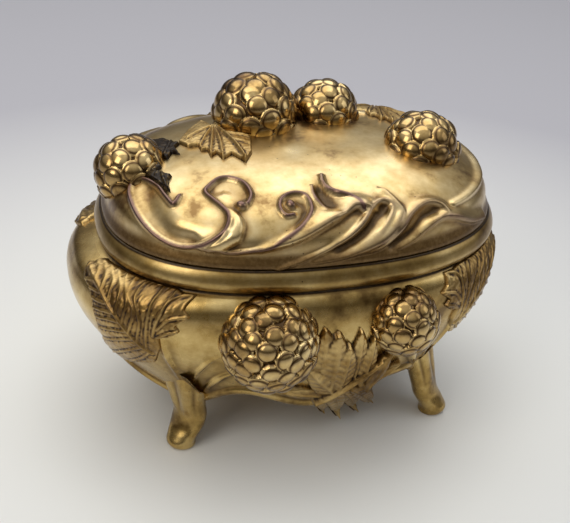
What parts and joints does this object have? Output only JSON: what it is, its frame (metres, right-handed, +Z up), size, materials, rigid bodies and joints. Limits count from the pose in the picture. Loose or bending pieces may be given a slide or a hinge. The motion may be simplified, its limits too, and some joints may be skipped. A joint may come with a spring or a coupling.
{
  "type": "vanity trinket box",
  "caption": "Footed oval gilt casket with a domed lid hinged at the back, cast berries and leaves in relief, and a silk-lined well for jewellery.",
  "frame": {"origin": "under the middle of the overall length and depth, on the surface that the feet stand on", "axes": "+Z up; +X along the length, towards the right end seen from the front; the front faces -Y and the hinge is at +Y"},
  "size_m": [0.1561, 0.1426, 0.1212],
  "materials": {
    "gilt_casting": "worn antique gilding over cast spelter, satin",
    "gilt_ornament": "worn antique gilding, darker in the hollows",
    "gilt_hardware": "plain tarnished brass",
    "silk_lining": "faded silk satin"
  },
  "bodies": {
    "body": {"body_shell": "gilt_casting", "base_plate": "gilt_casting", "leg_front_left": "gilt_casting", "leg_front_right": "gilt_casting", "leg_back_left": "gilt_casting", "leg_back_right": "gilt_casting", "corner_leaf_front_left": "gilt_ornament", "corner_leaf_front_right": "gilt_ornament", "corner_leaf_back_left": "gilt_ornament", "corner_leaf_back_right": "gilt_ornament", "front_berry_large": "gilt_ornament", "front_berry_small": "gilt_ornament", "front_leaf_spray": "gilt_ornament", "back_berry_large": "gilt_ornament", "back_berry_small": "gilt_ornament", "back_leaf_spray": "gilt_ornament", "wall_lining": "silk_lining", "floor_cushion": "silk_lining", "hinge_body_leaf": "gilt_hardware", "hinge_pin": "gilt_hardware"},
    "lid": {"lid_shell": "gilt_casting", "lid_pad": "silk_lining", "lid_berry_top_left": "gilt_ornament", "lid_berry_top_right": "gilt_ornament", "lid_berry_right": "gilt_ornament", "lid_berry_left": "gilt_ornament", "lid_leaf_top": "gilt_ornament", "lid_leaf_left": "gilt_ornament", "lid_leaf_right": "gilt_ornament", "hinge_lid_leaf": "gilt_hardware"}
  },
  "joints": [
    {"name": "lid_hinge", "type": "hinge", "parent": "body", "child": "lid", "pos_m": [0.0052, 0.0552, 0.07925], "axis": [-1, 0, 0], "range_deg": [0, 105]}
  ]
}
